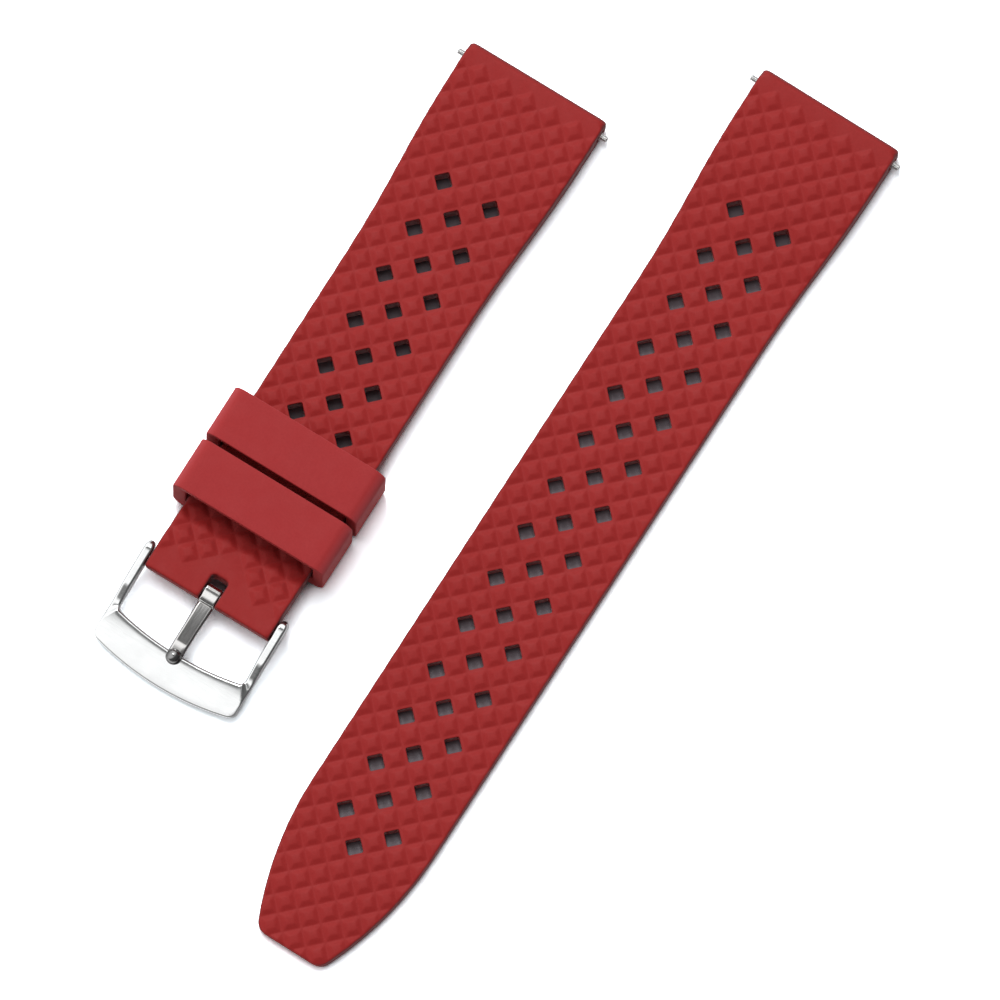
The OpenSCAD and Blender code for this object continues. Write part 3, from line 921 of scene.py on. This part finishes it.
def frame_sections():
    """Cross-sections of the frame's right half, from the arm's round end to the front's middle."""
    rings = arm_end()
    edges = []
    for k in range(ARM_STEPS + 1):
        y = ARM_END_Y + (FAN_Y - ARM_END_Y)*k/ARM_STEPS
        edges.append(((ARM_IN_X, y), (ARM_OUT_X, y)))
    arm_rings = len(edges)
    inner = bow_and_corner(ARM_IN_X, WINDOW_L, INNER_BOW, WINDOW_CORNER_R, FAN_Y)
    outer = bow_and_corner(ARM_OUT_X, WINDOW_L + FRONT_W, OUTER_BOW, FRAME_CORNER_R, FAN_Y)
    for inner_part, outer_part in zip(inner, outer):
        edges += list(zip(inner_part[1:], outer_part[1:]))
    for k, (a, b) in enumerate(edges):
        rise = ramp((k - arm_rings)/RISE_STEPS, RISE_SOFT)
        top_r = ARM_EDGE_R + (FRONT_EDGE_R - ARM_EDGE_R)*rise
        rings.append(section(a, b, lambda y, up=rise: frame_top(y, up), frame_bottom, top_r,
            FRAME_BOTTOM_R, SHOULDER_DEEP*rise))
    return rings


def buckle_frame():
    right = frame_sections()
    left = [[(-x, y, z) for x, y, z in ring] for ring in right[-2::-1]]
    obj = loft("buckle_frame_steel", right + left)
    for side in (-1, 1):
        deep = side*(FRAME_IN_W/2 + PIVOT_HOLE_DEEP)
        combine(obj, rod_x(PIVOT_HOLE_R, side*FRAME_IN_W/2 - side, deep, 0, 0), "DIFFERENCE")
    return settle(obj, BUCKLE, FRAME_SMOOTH, "buckle", "buckle_frame")


def curl():
    """The rolled end around the bar: a closed band with its seam towards the lugs."""
    angles = sorted(set(CURL_STEPS) | {SEAM_ANGLE + d for d in SEAM_STEPS})
    half = CURL_W/2
    rings = []
    for angle in angles:
        turn = math.radians(angle)
        up = math.cos(turn)
        back = math.sin(turn)
        r = CURL_R/(abs(up)**CURL_POWER + abs(back)**CURL_POWER)**(1/CURL_POWER)
        off = (angle - SEAM_ANGLE + 180) % 360 - 180
        r -= SEAM_DEEP*max(0.0, 1 - abs(off)/SEAM_HALF)
        edge = CURL_EDGE_R
        sides = [(half - edge + edge*math.cos(t), r - edge + edge*math.sin(t)) for t in ROUND]
        profile = [(-x, d) for x, d in sides]
        profile += [(half*k, r) for k in CURL_ACROSS]
        profile += sides[::-1] + [(half, CURL_BORE_R), (-half, CURL_BORE_R)]
        stretch = 1 + CURL_FRONT*max(0.0, -back)
        rings.append([(x, d*back*(stretch if d > CURL_BORE_R else 1), d*up) for x, d in profile])
    return loft("tongue_curl", rings, closed=True)


def shank_top(d):
    """Top of the tongue's shank at a distance from the bar, before it bends down to its tip."""
    u = d/TONGUE_TIP_D
    arch = -SHANK_LOW*(1 - u) + TONGUE_REST_Z*u + ARCH_RISE*math.sin(math.pi*u)
    return arch + SHANK_T


def shank():
    rings = []
    end = TONGUE_TIP_D + SHANK_PAST_TIP
    for k in range(SHANK_STEPS + 1):
        d = SHANK_START + (end - SHANK_START)*k/SHANK_STEPS
        half = SHANK_W/2 - SHANK_DRAW*soft_step((d - DRAW_START)/DRAW_L)
        top = shank_top(d) - BEND_DEEP*soft_step((d - BEND_START)/BEND_L)
        bottom = shank_top(d) - SHANK_T
        if d > REST_START:
            bottom = max(bottom, min(TONGUE_REST_Z, top - REST_LEAST_T))
        bottom = min(bottom, top - SHANK_THIN_T)
        rings.append(section((-half, -d), (half, -d), lambda y, h=top: h,
            lambda y, h=bottom: h, SHANK_EDGE_R, SHANK_FOOT_R))
    return loft("tongue_shank", rings)


def tip_ball():
    """The round tip: a dome that rests on the front bar."""
    centre_z = TONGUE_REST_Z + TIP_BALL_RISE
    low = math.degrees(math.asin(-TIP_BALL_RISE/TIP_BALL_R))
    profile = [(TONGUE_REST_Z, BALL_FOOT*TIP_BALL_R)]
    for k in range(BALL_STEPS + 1):
        turn = math.radians(low + (BALL_TOP_TURN - low)*k/BALL_STEPS)
        profile.append((centre_z + TIP_BALL_R*math.sin(turn), TIP_BALL_R*math.cos(turn)))
    return lathe("tongue_ball", profile, lambda a, c, s: (c, s - TONGUE_TIP_D, a))


def buckle_tongue():
    obj = curl()
    combine(obj, shank(), "UNION")
    combine(obj, tip_ball(), "UNION")
    obj.name = "buckle_tongue_steel"
    return settle(obj, BUCKLE, TONGUE_SMOOTH, "tongue", "buckle_tongue")


def bar_tip(half_place, node, side):
    """A lug bar's stepped tip; its pivot has fine turned grooves."""
    profile = [(TIP_HEAD[0], TIP_HEAD_R), (TIP_HEAD[1], TIP_HEAD_R), (TIP_HEAD[1], TIP_COLLAR_R),
        (TIP_COLLAR_END, TIP_COLLAR_R), (TIP_COLLAR_END, PIVOT_R)]
    for groove in GROOVES:
        foot, foot_end, end = (groove + d for d in GROOVE_CORNERS)
        profile += [(groove, PIVOT_R), (foot, PIVOT_R - GROOVE_DEEP)]
        profile += [(foot_end, PIVOT_R - GROOVE_DEEP), (end, PIVOT_R)]
    profile += [(PIVOT_END - PIVOT_CHAMFER, PIVOT_R), (PIVOT_END, PIVOT_R - PIVOT_CHAMFER)]
    obj = lathe(node + "_turned", profile,
        lambda a, c, s: (side*a, LUG_BAR_Y + c, LUG_BAR_Z + s), PIVOT_STEPS)
    return settle(obj, half_place, PIVOT_SMOOTH, node, node)


tail_strap = strap_half("tail_side_strap_rubber", TAIL_HALF_L, tail_side_outline(), tail_side_t,
    hole_cells(TAIL_PAIRS, TAIL_PAIRS), tail_raised)
buckle_strap = strap_half("buckle_side_strap_rubber", BUCKLE_HALF_L, buckle_side_outline(),
    buckle_side_t, hole_cells(BUCKLE_PAIRS, BUCKLE_PAIRS - 1), buckle_raised)
for strap in (tail_strap, buckle_strap):
    combine(strap, rod_x(LUG_BORE_R, -LUG_W, LUG_W, LUG_BAR_Y, LUG_BAR_Z), "DIFFERENCE")
combine(buckle_strap, rod_x(BUCKLE_BORE_R, -BAND_W, BAND_W, BUCKLE_BAR_Y, BUCKLE_BAR_Z),
    "DIFFERENCE")
settle(tail_strap, TAIL_HALF, RUBBER_SMOOTH, "tail_half", "tail_side_strap")
settle(buckle_strap, BUCKLE_HALF, RUBBER_SMOOTH, "buckle_half",
    "buckle_side_strap")
lower_keeper = keeper("lower_keeper_rubber", LOWER_KEEPER_S, "lower_keeper")
upper_keeper = keeper("upper_keeper_rubber", UPPER_KEEPER_S, "upper_keeper")
frame_piece = buckle_frame()
tongue_piece = buckle_tongue()
tips = []
for half_name, place in (("buckle", BUCKLE_HALF), ("tail", TAIL_HALF)):
    for side_name, side in (("left", -1), ("right", 1)):
        tips.append(bar_tip(place, f"{half_name}_lug_bar_{side_name}_tip", side))


# Widths of the materials' patterns, in metres
DRIFT_SIZE = 0.009
SPECKLE_SIZE = 0.00028
GLOSS_SIZE = 0.002
GRAIN_SIZE = 0.00016
WAVE_SIZE = 0.0016
LINE_SIZE = 0.00009
SMUDGE_SIZE = 0.003
# Noise stays about between these two values
NOISE_LOW = 0.3
NOISE_HIGH = 0.7
# Rubber: its speckle is a little lighter than its colour, and its waves are deeper than its grain
SPECKLE_SHARE = 0.45
SPECKLE_GAIN = 1.12
SPECKLE_LIFT = 0.003
WAVE_SHARE = 1.5
RUBBER_GLOSS_SPAN = 0.05
RUBBER_SPECULAR = 0.24
# Steel: its smudges are a little darker, and its gloss varies with its brushed lines
WORN_SHARE = 0.93
STEEL_GLOSS_BELOW = 0.04
STEEL_GLOSS_ABOVE = 0.05
# How far a face turns to the side until painted light and shade starts on it and until it is full, and
# whether its back gets it too: the strap and the steel get painted shade there, the keepers painted
# light
RUBBER_PAINTED_LIGHT_TURN = (0.34, 0.87, True)
STEEL_PAINTED_SHADE_TURN = (0.35, 0.8, True)
TONGUE_PAINTED_SHADE_TURN = (0.25, 0.75, False)


class Nodes:
    """Short ways to place and link the nodes of a material or a world."""

    def __init__(self, owner):
        owner.use_nodes = True
        self.owner = owner
        self.tree = owner.node_tree

    def feed(self, socket, value):
        """Gives a socket a number, a vector, a colour (a tuple) or another node's output."""
        if isinstance(value, bpy.types.NodeSocket):
            self.tree.links.new(value, socket)
        else:
            socket.default_value = (*value, 1) if isinstance(value, tuple) else value

    def feed_all(self, node, inputs):
        for name, value in inputs.items():
            self.feed(node.inputs[name], value)

    def add(self, kind, inputs, output=0, **settings):
        """Places a node, feeds its inputs, given by name or number, and returns an output."""
        node = self.tree.nodes.new(kind)
        for key, value in settings.items():
            setattr(node, key, value)
        self.feed_all(node, inputs)
        return node.outputs[output]

    def calculate(self, operation, *values):
        return self.add("ShaderNodeMath", dict(enumerate(values)), operation=operation)

    def noise(self, size, detail=2, stretch=(1, 1, 1)):
        """Noise whose features are about size metres wide."""
        place = self.add("ShaderNodeTexCoord", {}, "Object")
        place = self.add("ShaderNodeMapping", {"Vector": place, "Scale": Vector(stretch)})
        return self.add("ShaderNodeTexNoise", {"Vector": place, "Scale": 1/size, "Detail": detail},
            "Fac")

    def remap(self, value, low, high, start=NOISE_LOW, end=NOISE_HIGH, way="LINEAR"):
        """Runs from low to high while the value runs from start to end."""
        inputs = {"Value": value, "From Min": start, "From Max": end, "To Min": low, "To Max": high}
        return self.add("ShaderNodeMapRange", inputs, "Result", interpolation_type=way)

    def mix(self, factor, first, second):
        """Mixes two colours."""
        return self.add("ShaderNodeMix", {0: factor, 6: first, 7: second}, 2, data_type="RGBA")

    def turned(self, start, end, back):
        """How far a face turns to either side of the piece (X), and to its back (+Y) as well, to place
        painted light and shade.
        """
        parts = self.tree.nodes.new("ShaderNodeSeparateXYZ")
        self.feed(parts.inputs[0], self.add("ShaderNodeTexCoord", {}, "Normal"))
        turn = self.calculate("ABSOLUTE", parts.outputs["X"])
        if back:
            turn = self.calculate("MAXIMUM", turn, parts.outputs["Y"])
        return self.remap(turn, 0, 1, start, end)

    def bump(self, height, distance, **inputs):
        return self.add("ShaderNodeBump", {"Height": height, "Distance": distance, **inputs})

    def facing(self, way):
        """How far the direction that is looked in points a given way."""
        place = self.add("ShaderNodeTexCoord", {}, "Generated")
        return self.add("ShaderNodeVectorMath", {0: place, 1: way.normalized()}, "Value",
            operation="DOT_PRODUCT")

    def by_ray(self, rays, shader, others):
        """One shader for the named kinds of rays, another one for all others."""
        path = self.tree.nodes.new("ShaderNodeLightPath")
        seen = path.outputs[rays[0]]
        for ray in rays[1:]:
            seen = self.calculate("MAXIMUM", seen, path.outputs[ray])
        return self.add("ShaderNodeMixShader", {0: seen, 1: others, 2: shader})

    def background(self, color, strength):
        return self.add("ShaderNodeBackground", {"Color": color, "Strength": strength})

    def diffuse(self, color):
        return self.add("ShaderNodeBsdfDiffuse", {"Color": color})


def rubber(name, color, deeper, wall, roughness, grain):
    """Moulded rubber: soft colour drift, fine speckle, a fine grain, uneven gloss, and painted light
    and shade on its walls.
    """
    nodes = Nodes(bpy.data.materials.new(name))
    drift = nodes.remap(nodes.noise(DRIFT_SIZE, 3), 0, 1)
    base = nodes.mix(drift, color, deeper)
    speckle = nodes.remap(nodes.noise(SPECKLE_SIZE), 0, 1)
    faint = nodes.remap(speckle, 0, SPECKLE_SHARE, 0, 1)
    base = nodes.mix(faint, base, tuple(c*SPECKLE_GAIN + SPECKLE_LIFT for c in color))
    # Painted light and shade: faces turned to the sides and back take the wall colour
    base = nodes.mix(nodes.turned(*RUBBER_PAINTED_LIGHT_TURN), base, wall)
    uneven = nodes.noise(GLOSS_SIZE, 3)
    fine = nodes.bump(nodes.noise(GRAIN_SIZE), grain)
    wavy = nodes.bump(nodes.noise(WAVE_SIZE), grain*WAVE_SHARE, Normal=fine)
    nodes.feed_all(nodes.tree.nodes["Principled BSDF"], {
        "Base Color": base,
        "Roughness": nodes.remap(uneven, roughness - RUBBER_GLOSS_SPAN, roughness + RUBBER_GLOSS_SPAN),
        "Normal": wavy,
        "Specular IOR Level": RUBBER_SPECULAR})
    return nodes.owner


def steel(name, color, side, roughness, lines, scratch, painted_shade_turn=STEEL_PAINTED_SHADE_TURN):
    """Polished steel with faint brushed lines along one way, a few soft smudges and painted shade and
    dark reflections on its sides.
    """
    nodes = Nodes(bpy.data.materials.new(name))
    smudge = nodes.remap(nodes.noise(SMUDGE_SIZE, 3), 0, 1)
    tint = nodes.mix(smudge, color, tuple(c*WORN_SHARE for c in color))
    # Painted shade and dark reflections: faces turned to the sides take the side colour
    tint = nodes.mix(nodes.turned(*painted_shade_turn), tint, side)
    brushed = nodes.noise(LINE_SIZE, 2, lines)
    nodes.feed_all(nodes.tree.nodes["Principled BSDF"], {
        "Base Color": tint,
        "Roughness": nodes.remap(brushed, roughness - STEEL_GLOSS_BELOW, roughness + STEEL_GLOSS_ABOVE),
        "Normal": nodes.bump(brushed, scratch),
        "Metallic": 1.0})
    return nodes.owner


# The wall colours are painted light and shade: darker on the strap, lighter on the keepers
strap_rubber = rubber("strap_rubber", color=(0.322, 0.018, 0.017), deeper=(0.302, 0.0165, 0.0155),
    wall=(0.18, 0.032, 0.034), roughness=0.6, grain=0.000004)
keeper_rubber = rubber("keeper_rubber", color=(0.375, 0.0305, 0.032), deeper=(0.357, 0.029, 0.0305),
    wall=(0.46, 0.06, 0.066), roughness=0.72, grain=0.000003)
# Brushed lines run along the buckle's bar, across the arms; the side colours are painted shade and dark
# reflections
frame_steel = steel("frame_steel", color=(0.88, 0.89, 0.89), side=(0.34, 0.35, 0.36),
    roughness=0.16, lines=(0.05, 1, 1), scratch=0.0000004)
tongue_steel = steel("tongue_steel", color=(0.78, 0.77, 0.76), side=(0.12, 0.11, 0.11),
    roughness=0.14, lines=(1, 0.05, 1), scratch=0.0000006, painted_shade_turn=TONGUE_PAINTED_SHADE_TURN)
# The ball is the tongue's steel painted darker, as painted shade for its dark reflections
ball_painted_shade_steel = steel("ball_painted_shade_steel", color=(0.3, 0.3, 0.3), side=(0.08, 0.08, 0.08),
    roughness=0.2, lines=(1, 1, 1), scratch=0.0000004)
turned_steel = steel("turned_steel", color=(0.78, 0.78, 0.77), side=(0.4, 0.4, 0.4),
    roughness=0.22, lines=(1, 0.05, 0.05), scratch=0.0000006)
wire_steel = steel("wire_steel", color=(0.55, 0.55, 0.56), side=(0.3, 0.3, 0.3),
    roughness=0.3, lines=(1, 1, 1), scratch=0.0000004)


def finish_with(obj, finish):
    obj.data.materials.clear()
    obj.data.materials.append(finish)


def paint_ball_shade(tongue):
    """Gives the round tip of the tongue a darker copy of its steel, as painted shade for its dark
    reflections.
    """
    tongue.data.materials.append(ball_painted_shade_steel)
    to_buckle = BUCKLE.inverted()
    for face in tongue.data.polygons:
        place = to_buckle @ face.center
        if math.hypot(place.x, place.y + TONGUE_TIP_D) < BALL_REACH*TIP_BALL_R:
            face.material_index = 1


for piece in (tail_strap, buckle_strap):
    finish_with(piece, strap_rubber)
for piece in (lower_keeper, upper_keeper):
    finish_with(piece, keeper_rubber)
finish_with(frame_piece, frame_steel)
finish_with(tongue_piece, tongue_steel)
paint_ball_shade(tongue_piece)
for piece in tips:
    finish_with(piece, turned_steel)
for node_name, node in frame["nodes"].items():
    finish_with(node, wire_steel if "spring" in node_name else turned_steel)

# Camera, as fitted to the photograph
CAMERA_AZIMUTH = math.radians(32.5)
CAMERA_ELEVATION = math.radians(78)
CAMERA_DISTANCE = 2.23
PIXELS_PER_METRE = 8041.8
PICTURE_SIDE = 1000
# Where the picture's middle meets the surface
AIM = Vector((0.00776, -0.00074, 0))

camera_data = bpy.data.cameras.new("camera")
camera_data.sensor_width = 36
camera_data.lens = PIXELS_PER_METRE*CAMERA_DISTANCE*camera_data.sensor_width/PICTURE_SIDE
camera_data.clip_start = 0.01
camera_data.clip_end = 20
camera = linked("camera", camera_data)
away = Vector((
    math.sin(CAMERA_AZIMUTH)*math.cos(CAMERA_ELEVATION),
    -math.cos(CAMERA_AZIMUTH)*math.cos(CAMERA_ELEVATION),
    math.sin(CAMERA_ELEVATION)))
camera.location = AIM + away*CAMERA_DISTANCE
camera.rotation_euler = away.to_track_quat("Z", "Y").to_euler()
bpy.context.scene.camera = camera

# Directions in the picture, on the surface: to its right and towards its top
PICTURE_RIGHT = Vector((math.cos(CAMERA_AZIMUTH), math.sin(CAMERA_AZIMUTH), 0))
PICTURE_UP = Vector((-math.sin(CAMERA_AZIMUTH), math.cos(CAMERA_AZIMUTH), 0))


def area_light(name, right, up, height, size, power, mirrored):
    """A round lamp above the surface, which shiny faces mirror or don't."""
    data = bpy.data.lights.new(name, "AREA")
    data.shape = "DISK"
    data.size = size
    data.energy = power
    lamp = linked(name, data)
    lamp.location = PICTURE_RIGHT*right + PICTURE_UP*up + Vector((0, 0, height))
    lamp.rotation_euler = lamp.location.to_track_quat("Z", "Y").to_euler()
    lamp.visible_glossy = mirrored


# The key gives the rubber its sheen; the high lamp shortens the shadows and isn't mirrored,
# because it would stand white in the tongue
area_light("key", right=-0.15, up=0.75, height=1.35, size=0.3, power=8.5, mirrored=True)
area_light("high", right=-0.1, up=0.3, height=1.5, size=0.6, power=6.5, mirrored=False)

# The room is bright at the picture's upper left, dark low on the right, and has a dark spot overhead
BRIGHT_WAY = PICTURE_UP*0.55 - PICTURE_RIGHT*0.6 + Vector((0, 0, 0.6))
BRIGHT_FROM = 0.28
BRIGHT_TO = 0.5
ROOM_BRIGHT = 1.2
ROOM_DARK = 0.12
SPOT_WAY = PICTURE_UP*0.1 - PICTURE_RIGHT*0.02 + Vector((0, 0, 1))
SPOT_INNER = math.radians(9)
SPOT_OUTER = math.radians(18)
SPOT_SHARE = 0.12
# Metal mirrors the whole of it; what falls on the object is a share of it and an even light
ROOM_LIGHT = 0.5
ROOM_FILL = 0.16
WHITE = (1.0, 1.0, 1.0)
SOFT_GREY = (0.8, 0.8, 0.8)


def room():
    """Surroundings: the pattern for mirroring rays, softer light for others, white for the camera."""
    nodes = Nodes(bpy.data.worlds.new("room"))
    nodes.tree.nodes.remove(nodes.tree.nodes["Background"])
    bright = nodes.remap(nodes.facing(BRIGHT_WAY), ROOM_DARK, ROOM_BRIGHT, BRIGHT_FROM, BRIGHT_TO,
        "SMOOTHSTEP")
    spot = nodes.remap(nodes.facing(SPOT_WAY), SPOT_SHARE, 1, math.cos(SPOT_INNER),
        math.cos(SPOT_OUTER), "SMOOTHSTEP")
    pattern = nodes.calculate("MULTIPLY", bright, spot)
    softer = nodes.calculate("MULTIPLY_ADD", pattern, ROOM_LIGHT, ROOM_FILL)
    seen = nodes.by_ray(["Is Glossy Ray"], nodes.background(WHITE, pattern),
        nodes.background(SOFT_GREY, softer))
    seen = nodes.by_ray(["Is Camera Ray"], nodes.background(WHITE, 1), seen)
    nodes.feed(nodes.tree.nodes["World Output"].inputs["Surface"], seen)
    return nodes.owner


# Colour of the floor as the picture shows it, as metal mirrors it, and as it lights the object
FLOOR_SHOWN = (2.45, 2.6, 2.7)
FLOOR_MIRRORED = (1.1, 1.1, 1.1)
FLOOR_REAL = (0.8, 0.8, 0.8)
# Painted shade: the shown floor falls to this colour where the piece above closes it in, as in the
# holes
FLOOR_PAINTED_SHADE = (0.17, 0.15, 0.165)
CLOSED_REACH = 0.006
CLOSED_FROM = 0.25
CLOSED_TO = 0.6
FLOOR_HALF = 3


def floor_material():
    nodes = Nodes(bpy.data.materials.new("floor"))
    nodes.tree.nodes.remove(nodes.tree.nodes["Principled BSDF"])
    # Painted shade: the shown floor darkens where the pieces above close in the sky over it
    open_sky = nodes.add("ShaderNodeAmbientOcclusion", {"Distance": CLOSED_REACH}, "AO")
    unshaded_share = nodes.remap(open_sky, 0, 1, CLOSED_FROM, CLOSED_TO, "SMOOTHSTEP")
    shown = nodes.diffuse(nodes.mix(unshaded_share, FLOOR_PAINTED_SHADE, FLOOR_SHOWN))
    seen = nodes.by_ray(["Is Glossy Ray", "Is Transmission Ray"], nodes.diffuse(FLOOR_MIRRORED),
        nodes.diffuse(FLOOR_REAL))
    seen = nodes.by_ray(["Is Camera Ray"], shown, seen)
    nodes.feed(nodes.tree.nodes["Material Output"].inputs["Surface"], seen)
    return nodes.owner


bpy.context.scene.world = room()
corners = [(FLOOR_HALF*x, FLOOR_HALF*y, 0) for x, y in ((-1, -1), (1, -1), (1, 1), (-1, 1))]
floor_mesh = bpy.data.meshes.new("floor")
floor_mesh.from_pydata(corners, [], [(0, 1, 2, 3)])
floor = linked("floor", floor_mesh)
floor.data.materials.append(floor_material())

bpy.context.scene.view_settings.view_transform = "Standard"
